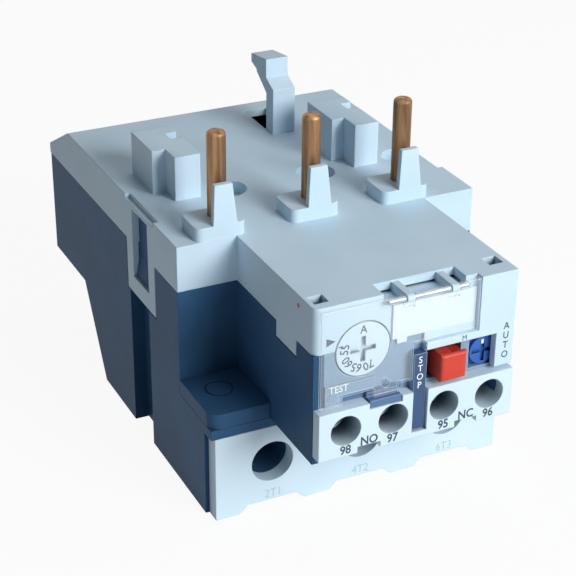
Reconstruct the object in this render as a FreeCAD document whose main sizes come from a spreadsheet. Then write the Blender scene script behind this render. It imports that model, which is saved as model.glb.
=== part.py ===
import FreeCAD, Part
import math
import os
import re
import Sketcher
from FreeCAD import Placement, Rotation, Vector

# Thermal overload relay, three poles, in millimetres.
# X runs to the right, Y to the back and Z up. The origin lies on the top face,
# at the middle of its front edge, where the relay meets the contactor above it.

SIZES = {
    # casing
    "pole_side": 13.9, "body_back": 80.8, "top_back": 67.0, "slope_back": 81.3,
    "slope_drop": 7.7, "parting_drop": 10.2, "lip_drop": 35.6, "lip_front": 60.0,
    "heel_back": 47.5, "shroud_high": 20.1, "cover_wall": 1.8, "base_wall": 2.2,
    "floor_drop": 33.4, "seam_gap": 0.1, "past": 1.0, "sunk": 0.1,
    # block that carries the front panel
    "block_left": 21.6, "block_right": 22.7, "block_front": 35.3, "block_drop": 34.8,
    "block_wall": 2.3, "block_floor": 2.2, "floor_front": 24.0, "corner_round": 1.5,
    # terminal end below the block
    "terminal_front": 16.4, "cap_drop": 31.0, "cap_thick": 3.5, "cap_round": 2.6,
    "cap_mark": 3.2, "cap_mark_depth": 0.4, "cap_middle": 6.1, "cap_mark_front": 6.5,
    "cap_mark_wide": 0.6, "rim_gap": 1.9, "shroud_thick": 3.5, "shroud_inset": 0.85,
    "driver_hole": 4.8, "screw_down": 8.8, "screw_reach": 0.6, "notch_rise": 1.8,
    "notch_half": 7.6, "notch_slope": 1.9, "pole_pitch": 21.1,
    # connection pins
    "pin_pitch": 21.6, "pin_middle": -2.0, "pin_back": 5.5, "pin_round": 2.0,
    "pin_rise": 21.6, "pin_tip": 0.9, "pin_tail": 14.6, "fit_gap": 0.05,
    "collar_left": 6.9, "collar_right": 4.4, "collar_front": 0.2, "collar_deep": 9.0, "collar_rise": 3.0,
    "collar_round": 1.6, "fin_left": 3.1, "fin_right": 2.3, "fin_taper": 1.1,
    "fin_rise": 11.9, "fin_thick": 1.3, "vent_shift": 9.8, "vent_back": 22.4,
    "vent_round": 4.3, "vent_deep": 2.9, "vent_wall": 1.2,
    # locating blocks and hook on the top
    "locator_left": -29.6, "locator_pitch": 43.3, "locator_wide": 9.0, "locator_step": 3.1,
    "locator_front": 21.0, "locator_inner": 26.3, "locator_back": 38.5, "locator_rise": 10.0,
    "slot_wide": 2.6, "slot_front": 31.0, "slot_long": 3.4, "slot_deep": 2.6,
    "hook_left": 8.5, "hook_wide": 5.6, "hook_front": 46.0, "hook_thick": 3.7,
    "hook_bend": 11.0, "hook_step": 3.9, "hook_rise": 17.3, "hook_head": 5.2,
    "hook_lip": 2.9, "hook_lip_drop": 3.0, "hole_long": 12.0, "hole_gap": 0.6,
    "seal_hole": 3.1, "seal_front": 33.2, "seal_left": -20.6, "seal_right": 18.4,
    # side clips
    "clip_front": 12.9, "clip_back": 29.1, "clip_drop": 22.5, "clip_thick": 1.4,
    "clip_frame": 3.6, "clip_bottom": 4.2, "clip_sky": 2.0, "clip_low_sky": 4.6, "clip_gap": 0.3,
    "clip_relief": 1.2, "latch_rise": 6.0, "latch_high": 0.9,
    "strap_front": 27.7, "strap_back": 18.9, "strap_drop": 13.8, "strap_thick": 1.0,
    "channel_front": 16.8, "channel_back": 28.0, "channel_deep": 3.2,
    # fascia, flap and panel
    "fascia_front": 37.1, "column_left": 18.6, "column_drop": 21.4, "band_left": 2.5,
    "band_top": 11.9, "band_drop": 13.6, "label_left": -4.7, "label_right": 14.1,
    "label_top": 2.6, "label_drop": 10.2, "label_thick": 0.5, "label_tab": 1.1,
    "flap_top": 0.3, "flap_thick": 0.8, "flap_left": -20.9, "flap_drop": 21.7, "flap_step": 19.6,
    "flap_heel": -16.2, "flap_split": -0.5, "flap_short": 11.5,
    "axis_drop": 1.1, "barrel": 0.85, "hinge_pin": 0.45, "lug_left": -2.6, "lug_right": 7.4,
    "lug_wide": 1.6, "hinge_left": -6.7, "hinge_right": 11.6, "hinge_back": 30.8,
    "hinge_deep": 2.3, "ear_left": -8.9, "ear_right": -3.6, "ear_drop": 21.5, "ear_hole": 0.9,
    "ear_hole_left": -6.5, "ear_hole_drop": 18.9,
    "panel_thick": 2.6, "panel_top": 10.4, "panel_drop": 21.9, "rib_left": -0.3,
    "rib_right": 2.5, "rib_front": 37.3, "rib_drop": 31.2, "ledge_right": -8.2,
    "ledge_top": 17.5, "ledge_drop": 19.9, "ledge_thick": 0.6, "ledge_end": -15.3,
    # controls on the front
    "dial_left": -10.9, "dial_drop": 10.9, "dial_round": 5.85, "dial_gap": 0.3,
    "dial_thick": 1.5, "dial_shaft": 2.0, "dial_slot": 1.1, "dial_slot_long": 5.6,
    "dial_slot_deep": 0.8, "cam_round": 4.2, "cam_side": -0.35, "cam_low": 0.6,
    "cam_front": 27.4, "cam_thick": 2.0,
    "stop_left": 5.2, "stop_wide": 5.9, "stop_top": 15.0, "stop_high": 6.0,
    "stop_front": 38.6, "stop_deep": 7.2, "stop_scoop": 2.3,
    "stop_stem_long": 7.0, "stop_edge": 0.6, "stop_rim": 1.0, "well_left": 3.7, "well_gap": 0.5,
    "reset_middle": 16.9, "reset_drop": 18.1, "reset_half": 3.1, "reset_front": 34.1,
    "reset_head": 2.4, "reset_long": 8.6, "button_stem": 1.3, "knob_round": 3.05,
    "knob_thick": 0.8, "knob_slot": 0.9, "knob_slot_deep": 0.5, "knob_slot_long": 5.0, "knob_stem": 0.7,
    "test_left": -17.4, "test_drop": 20.2, "test_round": 1.2, "test_long": 6.8,
    "test_collar": 1.8, "test_collar_thick": 1.0, "slide_fit": 0.3,
    "wire_round": 0.3, "wire_sides": 8.0, "spring_turns": 4.0, "spring_pitch": 0.8, "well_floor": 1.2,
    "well_back": 25.2, "well_wall": 1.0,
    # auxiliary terminals
    "aux_front": 38.0, "aux_flange": 2.6, "aux_back": 24.6, "aux_top": 22.1, "aux_drop": 32.8,
    "aux_left_pair": -10.25, "aux_right_pair": 12.0, "aux_half": 5.3, "aux_screw": 26.9,
    "aux_hole": 3.35,
    "aux_hole_deep": 6.6, "aux_cell": 3.3, "aux_cell_deep": 5.4, "aux_cell_top": 23.6,
    "finger_left": -10.4, "finger_right": -3.0, "finger_deep": 1.3, "skirt_notch": 1.4,
    "skirt_half": 2.6, "aux_plate_front": 28.2, "cell_foot": 3.3, "wire_gap": 0.2,
    # screws and clamps
    "main_shank": 2.4, "main_head": 4.1, "main_head_thick": 3.6, "main_slot": 1.2,
    "small_shank": 1.7, "small_head": 2.9, "small_head_thick": 1.9, "small_slot": 0.8,
    "cage_half": 5.6, "cage_front": -2.4, "cage_back": 10.4, "cage_wall": 1.4,
    "cage_nut": 3.6, "cage_down": 3.7, "cage_high": 11.2, "cage_gap": 0.3,
    "bar_plate": 1.2, "bar_half": 3.5, "bar_down": 0.2,
    "plate_thick": 1.0, "plate_half": 2.6, "saddle_thick": 0.8, "saddle_half": 2.7,
    # heating strips behind the terminals
    "strip_back": 35.5, "strip_thick": 0.9, "strip_wide": 5.0,
    "strip_top": 18.4, "chamber_half": 8.2, "chamber_front": 24.0, "chamber_back": 45.0,
    "chamber_floor": 2.6, "coil_round": 4.8, "coil_inner": 3.6, "coil_wall": 0.6,
    "coil_high": 1.8, "coil_pitch": 2.9, "coil_turns": 4.0, "coil_rise": 5.8, "foot_deep": 1.7,
    "foot_half": 3.4, "lead_thick": 1.4, "lead_half": 2.4, "leg_back": 30.6, "foot_back": 32.6,
    "drop_back": 27.2, "lead_inner": 0.6, "lead_outer": 3.4, "lead_rise": 5.7,
    # trip mechanism
    "slide_start": 8.0, "slide_end": 11.0, "slide_front": 31.5, "slide_back": 39.5, "slide_drop": 21.6,
    "slide_thick": 2.0, "slide_play": 0.35, "slide_travel": 2.0, "slide_gap": 0.3,
    "lever_thick": 1.2, "lever_gap": 0.35, "lever_pivot": 21.5, "lever_rear": 37.0,
    "lever_front": 12.0, "lever_high": 5.0, "lever_hub": 1.9, "lever_pin": 0.8,
    "pivot_seat": 3.0,
    "rocker_left": 19.0, "rocker_front": 5.5, "rocker_hub": 2.2, "rocker_arm": 7.2,
    "rocker_side": 8.6, "rocker_thick": 1.6, "rocker_drop": 21.2, "rocker_high": 4.0,
    "carrier_front": 13.0, "carrier_thick": 3.0,
    "carrier_drop": 30.4, "carrier_high": 4.0, "carrier_travel": 1.9, "carrier_post": 1.8,
    "tail_half": 1.0, "tail_high": 3.4, "guide_half": 1.5, "post_wall": 1.2,
    "bridge_front": 15.4, "bridge_thick": 0.9, "bridge_top": 20.2, "bridge_high": 3.2,
    "bridge_reach": 2.0, "tip_round": 1.2, "tip_thick": 0.6, "contact_gap": 0.1,
    "tail_plate_top": 24.0, "tail_plate_half": 1.5, "tail_plate_end": 20.0,
    "adjust_pivot": 3.6, "adjust_boss": 4.6, "adjust_thick": 1.6, "adjust_reach": 15.6,
    "adjust_deep": 3.0,
    "adjust_hub": 1.7, "adjust_pin": 0.7, "adjust_gap": 0.3,
}

# Lengths and levels that follow from others
MADE_OF = {
    "body_width": "2 * (pole_pitch + pole_side)",
    "rim_drop": "block_drop + rim_gap", "base_drop": "rim_drop + shroud_high",
    "screw_drop": "rim_drop + screw_down", "bar_lip": "rim_drop + bar_down",
    "cage_top": "rim_drop + cage_down", "cage_drop": "cage_top + cage_high",
    "chamber_drop": "base_drop - chamber_floor", "coil_drop": "chamber_drop - coil_rise",
    "lead_drop": "chamber_drop - lead_rise", "slide_left": "body_width / 2 - slide_start",
    "slide_right": "body_width / 2 - slide_end",
}

doc = FreeCAD.newDocument("overload_relay")
sheet = doc.addObject("Spreadsheet::Sheet", "Sizes")
for row, (word, number) in enumerate(SIZES.items(), start=1):
    sheet.set("A%d" % row, word)
    sheet.set("B%d" % row, str(number))
    sheet.setAlias("B%d" % row, word)
doc.recompute()

NODES = []


def size(word):
    """The value that the sheet holds for one size."""
    return float(sheet.get(word))


def cell(found):
    """What stands for one word of an expression."""
    word = found.group(0)
    if word in MADE_OF:
        return "(%s)" % bound(MADE_OF[word])
    return "<<Sizes>>." + word if word in SIZES else word


def bound(text):
    """An expression in plain words, with each size pointed at its cell."""
    return re.sub(r"[a-z_]+", cell, str(text))


def publish(thing, name):
    """Name a finished piece, which also names its file, with its flush faces merged."""
    thing.Label = name
    if thing.TypeId == "PartDesign::Body":
        thing.Tip.Refine = True
    NODES.append(thing)
    return thing


# Solids made of boxes, rods and booleans

def place(thing, left, front, low):
    for axis, text in zip("xyz", (left, front, low)):
        thing.setExpression("Placement.Base." + axis, bound(text))


def block(name, left, right, front, back, low, high):
    thing = doc.addObject("Part::Box", name)
    for side, first, last in (("Length", left, right), ("Width", front, back), ("Height", low, high)):
        thing.setExpression(side, bound("(%s) - (%s)" % (last, first)))
    place(thing, left, front, low)
    return thing


TURNS = {"x": Rotation(Vector(0, 1, 0), 90), "y": Rotation(Vector(1, 0, 0), -90), "z": Rotation()}


def rod(name, axis, left, front, low, radius, length):
    thing = doc.addObject("Part::Cylinder", name)
    thing.Placement = Placement(Vector(), TURNS[axis])
    thing.setExpression("Radius", bound(radius))
    thing.setExpression("Height", bound(length))
    place(thing, left, front, low)
    return thing


def join(name, parts):
    thing = doc.addObject("Part::MultiFuse", name)
    thing.Shapes = parts
    return thing


def carve(name, base, tools):
    for count, tool in enumerate(tools):
        cut = doc.addObject("Part::Cut", "%s_cut%s" % (name, "abcdefghijklmnop"[count]))
        cut.Base = base
        cut.Tool = tool
        base = cut
    return base


def soften(name, base, radius, pick):
    """Round the edges of a solid that pick() names."""
    doc.recompute()
    thing = doc.addObject("Part::Fillet", name)
    thing.Base = base
    thing.Edges = [(n, radius, radius) for n, edge in enumerate(base.Shape.Edges, start=1) if pick(edge)]
    return thing


# Bodies made of sketches and features

def start_body(name):
    return doc.addObject("PartDesign::Body", name)


PLANES = {"top": "XY_Plane", "front": "XZ_Plane", "side": "YZ_Plane"}
ALONG_NORMAL = {"up": True, "down": False, "forward": True, "back": False, "right": True, "left": False}


def sketch_on(body, name, view, height="0"):
    """A sketch seen from the top, the front or the side, at one height of that view."""
    sketch = body.newObject("Sketcher::SketchObject", name)
    plane = [item for item in body.Origin.OriginFeatures if item.Role == PLANES[view]][0]
    sketch.AttachmentSupport = [(plane, "")]
    sketch.MapMode = "FlatFace"
    sign = "-" if view == "front" else ""
    sketch.setExpression("AttachmentOffset.Base.z", bound("%s(%s)" % (sign, height)))
    return sketch


def measure(sketch, kind, piece, point, text):
    number = sketch.addConstraint(Sketcher.Constraint(kind, -1, 1, piece, point, 5.0))
    sketch.setExpression("Constraints[%d]" % number, bound(text))


def outline(sketch, points):
    """A closed outline through points whose places are held by dimensions."""
    first = sketch.GeometryCount
    count = len(points)
    ring = [Vector(9 * math.cos(2 * math.pi * n / count), 9 * math.sin(2 * math.pi * n / count), 0)
            for n in range(count + 1)]
    for n in range(count):
        sketch.addGeometry(Part.LineSegment(ring[n], ring[n + 1]))
    for n in range(count):
        sketch.addConstraint(Sketcher.Constraint("Coincident", first + n, 2, first + (n + 1) % count, 1))
    for n, (across, along) in enumerate(points):
        measure(sketch, "DistanceX", first + n, 1, across)
        measure(sketch, "DistanceY", first + n, 1, along)
    return sketch


def rectangle(sketch, left, right, low, high):
    return outline(sketch, [(left, low), (right, low), (right, high), (left, high)])


def circle(sketch, across, along, radius):
    number = sketch.addGeometry(Part.Circle(Vector(1, 1, 0), Vector(0, 0, 1), 3))
    measure(sketch, "DistanceX", number, 3, across)
    measure(sketch, "DistanceY", number, 3, along)
    held = sketch.addConstraint(Sketcher.Constraint("Radius", number, 3.0))
    sketch.setExpression("Constraints[%d]" % held, bound(radius))
    return sketch


def pad(body, sketch, length, way):
    """Add the sketch's area, swept one way, or both ways for the middle."""
    feature = body.newObject("PartDesign::Pad", sketch.Name + "_pad")
    feature.Profile = sketch
    feature.setExpression("Length", bound(length))
    if way == "middle":
        feature.Midplane = True
    else:
        feature.Reversed = not ALONG_NORMAL[way]
    feature.Refine = False
    body.Tip = feature
    doc.recompute()
    return feature


def pocket(body, sketch, length, way):
    """Remove the sketch's area, and make sure that it did remove something."""
    before = body.Shape.Volume
    feature = body.newObject("PartDesign::Pocket", sketch.Name + "_pocket")
    feature.Profile = sketch
    feature.setExpression("Length", bound(length))
    if way == "middle":
        feature.Midplane = True
    else:
        feature.Reversed = ALONG_NORMAL[way]
    feature.Refine = False
    body.Tip = feature
    doc.recompute()
    if not body.Shape.Volume < before:
        raise RuntimeError("%s removes nothing" % sketch.Name)
    return feature


def round_off(body, name, radius, pick):
    """Round those edges of the body that pick() names."""
    base = body.Tip
    edges = ["Edge%d" % n for n, edge in enumerate(base.Shape.Edges, start=1) if pick(edge)]
    feature = body.newObject("PartDesign::Fillet", name)
    feature.Base = (base, edges)
    feature.setExpression("Radius", bound(radius))
    body.Tip = feature
    doc.recompute()
    return feature


def runs_along(edge, axis):
    """True for a straight edge along X, Y or Z."""
    if edge.Curve.TypeId != "Part::GeomLine":
        return False
    step = edge.Vertexes[-1].Point - edge.Vertexes[0].Point
    return abs(abs(getattr(step, axis)) - step.Length) < 1e-6


def near(value, target):
    return abs(value - target) < 0.01


POLES = {"first": "-pole_pitch", "second": "0", "third": "pole_pitch"}
PINS = {"first": "pin_middle - pin_pitch", "second": "pin_middle", "third": "pin_middle + pin_pitch"}
AUX = {"98": "aux_left_pair - aux_half", "97": "aux_left_pair + aux_half",
       "95": "aux_right_pair - aux_half", "96": "aux_right_pair + aux_half"}


# Base housing: the dark lower casing with its chambers

def at_poles(sketch, left, right, low, high):
    """One rectangle at each pole."""
    for pole in POLES.values():
        rectangle(sketch, pole + left, pole + right, low, high)
    return sketch


def both_sides(body, name, outer, inner, front, back, level):
    """Two rectangles seen from the top, one near each side wall."""
    sketch = sketch_on(body, name, "top", level)
    rectangle(sketch, "-(%s)" % outer, "-(%s)" % inner, front, back)
    return rectangle(sketch, inner, outer, front, back)


def one_side(body, name, side, outer, inner, front, back, level):
    """A rectangle seen from the top, near one side wall."""
    left, right = ("-(%s)" % outer, "-(%s)" % inner) if side == "left" else (inner, outer)
    return rectangle(sketch_on(body, name, "top", level), left, right, front, back)


def base_housing():
    body = start_body("base_body")
    shell_front = "shroud_thick - terminal_front"
    profile = outline(sketch_on(body, "base_profile", "side"), [
        ("0", "-parting_drop"), ("body_back", "-parting_drop"), ("body_back", "-lip_drop"),
        ("lip_front", "-lip_drop"), ("heel_back", "-base_drop"), (shell_front, "-base_drop"),
        (shell_front, "-rim_drop"), ("-terminal_front", "-rim_drop"),
        ("-terminal_front", "-(cap_drop + cap_thick)"), ("0", "-(cap_drop + cap_thick)")])
    pad(body, profile, "body_width", "middle")
    front_block = rectangle(sketch_on(body, "base_block", "top", "-block_drop"),
                            "-block_left", "block_right", "-block_front", "past")
    pad(body, front_block, "block_drop - parting_drop", "up")
    hollow_base(body)
    terminal_chambers(body)
    side_walls(body)
    mechanism_supports(body)
    return publish(body, "base_housing")


def hollow_base(body):
    """The mechanism room, the room behind the panel and a deep cell for each heating strip."""
    inner = "body_width / 2 - base_wall"
    room = rectangle(sketch_on(body, "mechanism_room", "top", "-parting_drop"),
                     "-(%s)" % inner, inner, "base_wall", "body_back - base_wall")
    pocket(body, room, "floor_drop - parting_drop", "down")
    front_room = rectangle(sketch_on(body, "front_room", "top", "-parting_drop"), "block_wall - block_left",
                           "block_right - block_wall", "-block_front - past", "base_wall + past")
    pocket(body, front_room, "block_drop - block_floor - parting_drop", "down")
    floor_cut = rectangle(sketch_on(body, "floor_cut", "top", "-parting_drop"), "block_wall - block_left",
                          "block_right - block_wall", "-block_front - past", "-floor_front")
    pocket(body, floor_cut, "block_drop", "down")
    cells = at_poles(sketch_on(body, "strip_cells", "top", "-floor_drop"), " - chamber_half",
                     " + chamber_half", "chamber_front", "chamber_back")
    pocket(body, cells, "chamber_drop - floor_drop", "down")


def terminal_chambers(body):
    """At each pole a screwdriver bore, a clamp cell open at the bottom, and a slot for the load bar."""
    bores = sketch_on(body, "driver_bores", "front", "shroud_thick - terminal_front")
    for pole in POLES.values():
        circle(bores, pole, "-screw_drop", "driver_hole")
    pocket(body, bores, "terminal_front - shroud_thick + cage_front", "back")
    cells = at_poles(sketch_on(body, "clamp_cells", "top", "-base_drop"), " - cage_half - cage_gap",
                     " + cage_half + cage_gap", "cage_front - cage_gap", "cage_back + cage_gap")
    pocket(body, cells, "base_drop - cage_top + cage_gap", "up")
    bar_front = "cage_back - cage_wall - bar_plate - cage_gap"
    slots = at_poles(sketch_on(body, "bar_slots", "front", bar_front), " - bar_half - cage_gap",
                     " + bar_half + cage_gap", "-(bar_lip + bar_plate + cage_gap)", "cage_gap - bar_lip")
    pocket(body, slots, "chamber_front + past - (%s)" % bar_front, "back")
    rises = at_poles(sketch_on(body, "bar_rises", "top", "-cage_top"), " - bar_half - cage_gap",
                     " + bar_half + cage_gap", bar_front, "cage_back - cage_wall + cage_gap")
    pocket(body, rises, "cage_top - bar_lip + cage_gap", "up")


def side_walls(body):
    """Columns, clip seats, channels and snap noses in the side walls, and the seat of the strap."""
    wall = "body_width / 2"
    columns = both_sides(body, "columns", wall + " - base_wall + sunk",
                         wall + " - channel_deep - base_wall",
                         "clip_front - past", "clip_back + past", "-floor_drop - sunk")
    pad(body, columns, "floor_drop - parting_drop + sunk", "up")
    seats = both_sides(body, "clip_seats", wall + " + past", wall + " - clip_thick - seam_gap",
                       "clip_front - clip_gap", "clip_back + clip_gap", "-(clip_drop + clip_gap)")
    pocket(body, seats, "clip_drop + clip_gap", "up")
    channels = both_sides(body, "channels", wall + " + past", wall + " - channel_deep",
                          "channel_front", "channel_back", "-base_drop")
    pocket(body, channels, "base_drop - clip_drop", "up")
    strap = rectangle(sketch_on(body, "strap_seat", "top", "-(strap_drop + clip_gap)"),
                      "-block_left - past",
                      "strap_thick + seam_gap - block_left", "-strap_front - clip_gap",
                      "clip_gap - strap_back")
    pocket(body, strap, "strap_drop + clip_gap", "up")
    seat = wall + " - clip_thick - seam_gap"
    front = "clip_front + clip_frame + clip_gap"
    back = "clip_back - clip_frame - clip_gap"
    foot = "-(clip_drop - clip_bottom - clip_gap)"
    for side, sky in (("left", "clip_sky"), ("right", "clip_low_sky")):
        tongue = one_side(body, side + "_tongue", side, seat, seat + " - base_wall", front, back,
                          "-parting_drop - sunk")
        pad(body, tongue, "parting_drop - %s - clip_gap + sunk" % sky, "up")
    noses = sketch_on(body, "noses", "front", front)
    for sign in ("-", ""):
        outline(noses, [("%s(%s - sunk)" % (sign, seat), foot),
                        ("%s(%s + latch_high)" % (sign, seat), foot),
                        ("%s(%s - sunk)" % (sign, seat), "latch_rise " + foot)])
    pad(body, noses, "(%s) - (%s)" % (back, front), "back")


LEVER_MIDDLE = "slide_right + lever_gap + lever_thick / 2"
LEVER_DROP = "slide_drop + lever_high - slide_thick"
ROCKER_DROP = "rocker_drop + rocker_high"


def mechanism_supports(body):
    """Rails under the trip slide and the contact carrier, and posts that hold the two pivot pins."""
    rails = sketch_on(body, "slide_rails", "top", "-floor_drop - sunk")
    rectangle(rails, "sunk - pole_pitch + chamber_half", "-chamber_half - sunk", "slide_front",
              "slide_back")
    rectangle(rails, "chamber_half + sunk", "pole_pitch - chamber_half - sunk", "slide_front", "slide_back")
    pad(body, rails, "floor_drop - slide_drop - slide_gap + sunk", "up")
    for name, left, front, drop, hub in (("lever", LEVER_MIDDLE, "lever_pivot", LEVER_DROP, "lever_hub"),
                                         ("rocker", "rocker_left", "rocker_front", ROCKER_DROP,
                                          "rocker_hub")):
        post = circle(sketch_on(body, name + "_post", "top", "-floor_drop - sunk"), left, front, hub)
        pad(body, post, "floor_drop + sunk - (%s) - seam_gap" % drop, "up")
        hole = circle(sketch_on(body, name + "_post_hole", "top", "-(%s)" % drop), left, front, "lever_pin")
        pocket(body, hole, "pivot_seat", "down")
    guides = sketch_on(body, "carrier_guides", "top", "block_floor - block_drop - sunk")
    for middle in ("aux_left_pair", "aux_right_pair"):
        rectangle(guides, middle + " - guide_half", middle + " + guide_half",
                  "-carrier_front - carrier_travel", "carrier_thick - carrier_front")
    pad(body, guides, "block_drop - block_floor - carrier_drop - slide_gap + sunk", "up")


# Top cover: the light upper casing, with its collars, locating blocks, hook and fascia

def top_cover():
    body = start_body("cover_body")
    profile = outline(sketch_on(body, "cover_profile", "side"), [
        ("0", "0"), ("0", "-parting_drop"), ("slope_back", "-parting_drop"),
        ("slope_back", "-slope_drop"), ("top_back", "0")])
    pad(body, profile, "body_width", "middle")
    front_block = rectangle(sketch_on(body, "cover_block", "top", "-parting_drop"),
                            "-block_left", "block_right", "-block_front", "past")
    pad(body, front_block, "parting_drop", "up")
    round_off(body, "cover_corner", "corner_round", lambda edge: runs_along(edge, "z")
              and near(edge.Vertexes[0].Y, -size("block_front")) and near(edge.Vertexes[0].X,
                                                                          -size("block_left")))
    inner = outline(sketch_on(body, "cover_room", "side"), [
        ("cover_wall", "-cover_wall"), ("cover_wall", "-parting_drop - past"),
        ("slope_back - cover_wall", "-parting_drop - past"),
        ("slope_back - cover_wall", "-slope_drop - cover_wall / 2"),
        ("top_back - cover_wall / 2", "-cover_wall")])
    pocket(body, inner, "body_width - 2 * cover_wall", "middle")
    front_room = rectangle(sketch_on(body, "cover_front_room", "top", "-cover_wall"),
                           "cover_wall - block_left", "block_right - cover_wall",
                           "cover_wall - block_front", "cover_wall + past")
    pocket(body, front_room, "parting_drop", "down")
    fascia(body)
    hinge_recess(body)
    side_clips(body)
    collars(body)
    locators(body)
    hook(body)
    adjust_support(body)
    return publish(body, "top_cover")


def fascia(body):
    """The raised right part of the front, the band under the label and the bore of the dial."""
    raised = outline(sketch_on(body, "fascia_plan", "front", "-fascia_front"), [
        ("label_right + clip_gap", "0"), ("block_right", "0"), ("block_right", "-column_drop"),
        ("column_left", "-column_drop"), ("column_left", "-band_drop"), ("band_left", "-band_drop"),
        ("band_left", "-band_top"), ("label_right + clip_gap", "-band_top")])
    pad(body, raised, "fascia_front - block_front", "back")
    band = rectangle(sketch_on(body, "band_plan", "front", "-(block_front + label_thick)"),
                     "band_left", "column_left", "-band_top - sunk", "-label_drop")
    pad(body, band, "label_thick + sunk", "back")
    bore = circle(sketch_on(body, "dial_bore", "front", "-block_front - past"),
                  "dial_left", "-dial_drop", "dial_round + dial_gap")
    pocket(body, bore, "cover_wall + past + sunk", "back")


AXIS_FRONT = "flap_thick / 2 - fascia_front"


def hinge_recess(body):
    """A recess in the top edge, where two lugs carry the pin of the clear flap."""
    shelf = rectangle(sketch_on(body, "hinge_shelf", "top", "-hinge_deep"), "hinge_left - cover_wall",
                      "hinge_right + cover_wall", "cover_wall / 2 - block_front", "cover_wall - hinge_back")
    pad(body, shelf, "cover_wall", "down")
    recess = rectangle(sketch_on(body, "hinge_plan", "top", "0"), "hinge_left", "hinge_right",
                       "-fascia_front - past", "-hinge_back")
    pocket(body, recess, "hinge_deep", "down")
    for name, left in (("left", "lug_left"), ("right", "lug_right")):
        lug = sketch_on(body, name + "_lug", "side", left)
        outline(lug, [(AXIS_FRONT, "barrel - axis_drop"), ("cover_wall - hinge_back", "barrel - axis_drop"),
                      ("cover_wall - hinge_back", "-hinge_deep - sunk"),
                      ("-block_front", "-hinge_deep - sunk"),
                      ("-block_front", "-barrel - axis_drop"), (AXIS_FRONT, "-barrel - axis_drop")])
        pad(body, lug, "lug_wide", "right")
        nose = circle(sketch_on(body, name + "_lug_nose", "side", left), AXIS_FRONT, "-axis_drop", "barrel")
        pad(body, nose, "lug_wide", "right")
        hole = circle(sketch_on(body, name + "_lug_hole", "side", left), AXIS_FRONT, "-axis_drop",
                      "hinge_pin")
        pocket(body, hole, "lug_wide", "right")


def side_clips(body):
    """A springy strap with a window on each side, and a short strap on the block."""
    wall = "body_width / 2"
    clips = both_sides(body, "clips", wall, wall + " - clip_thick", "clip_front", "clip_back", "-clip_drop")
    pad(body, clips, "clip_drop - parting_drop + sunk", "up")
    for side, sky in (("left", "clip_sky"), ("right", "clip_low_sky")):
        window = one_side(body, side + "_window", side, wall + " + past", wall + " - cover_wall - sunk",
                          "clip_front + clip_frame", "clip_back - clip_frame", "-(clip_drop - clip_bottom)")
        pocket(body, window, "clip_drop - clip_bottom - %s" % sky, "up")
    reliefs = both_sides(body, "reliefs", wall + " + past", wall + " - clip_relief",
                         "clip_front", "clip_back", "-clip_relief")
    pocket(body, reliefs, "clip_relief + past", "up")
    strap = rectangle(sketch_on(body, "strap", "top", "-strap_drop"), "-block_left",
                      "strap_thick - block_left", "-strap_front", "-strap_back")
    pad(body, strap, "strap_drop - parting_drop + sunk", "up")


def collars(body):
    """A collar and a fin at each connection pin, a round recess beside it, and two holes for a seal."""
    plans = sketch_on(body, "collar_plans", "top", "-sunk")
    fins = sketch_on(body, "fin_plans", "front", "collar_front")
    bores = sketch_on(body, "pin_bores", "top", "collar_rise + past")
    cups = sketch_on(body, "cup_plans", "top", "-vent_deep - vent_wall")
    recesses = sketch_on(body, "recess_plans", "top", "0")
    for pin in PINS.values():
        rectangle(plans, pin + " - collar_left", pin + " + collar_right", "collar_front", "collar_deep")
        outline(fins, [(pin + " - fin_left", "collar_rise - sunk"),
                       (pin + " + fin_right", "collar_rise - sunk"),
                       (pin + " + fin_right - fin_taper", "fin_rise"),
                       (pin + " - fin_left + fin_taper / 3", "fin_rise")])
        circle(bores, pin, "pin_back", "pin_round + fit_gap")
        circle(cups, pin + " + vent_shift", "vent_back", "vent_round + vent_wall")
        circle(recesses, pin + " + vent_shift", "vent_back", "vent_round")
    pad(body, plans, "collar_rise + sunk", "up")
    round_off(body, "collar_corners", "collar_round", lambda edge: runs_along(edge, "z")
              and near(max(v.Z for v in edge.Vertexes), size("collar_rise"))
              and near(min(v.Z for v in edge.Vertexes), 0))
    pad(body, fins, "fin_thick", "back")
    pocket(body, bores, "collar_rise + cover_wall + 2 * past", "down")
    pad(body, cups, "vent_deep + vent_wall - cover_wall / 2", "up")
    pocket(body, recesses, "vent_deep", "down")
    seals = sketch_on(body, "seal_holes", "top", "past")
    for left in ("seal_left", "seal_right"):
        rectangle(seals, left, left + " + seal_hole", "-seal_front", "seal_hole - seal_front")
    pocket(body, seals, "cover_wall + 2 * past", "down")


def locators(body):
    """Two blocks that place the relay against the contactor, each with a small slot."""
    plans = sketch_on(body, "locator_plans", "top", "-sunk")
    slots = sketch_on(body, "locator_slots", "top", "locator_rise")
    for corner in ("locator_left", "locator_left + locator_pitch"):
        outline(plans, [(corner, "locator_inner"), (corner + " + locator_step", "locator_inner"),
                        (corner + " + locator_step", "locator_front"),
                        (corner + " + locator_wide", "locator_front"),
                        (corner + " + locator_wide", "locator_back"), (corner, "locator_back")])
        rectangle(slots, corner + " + locator_wide - slot_wide", corner + " + locator_wide + past",
                  "slot_front", "slot_front + slot_long")
    pad(body, plans, "locator_rise + sunk", "up")
    pocket(body, slots, "slot_deep", "down")


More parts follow.
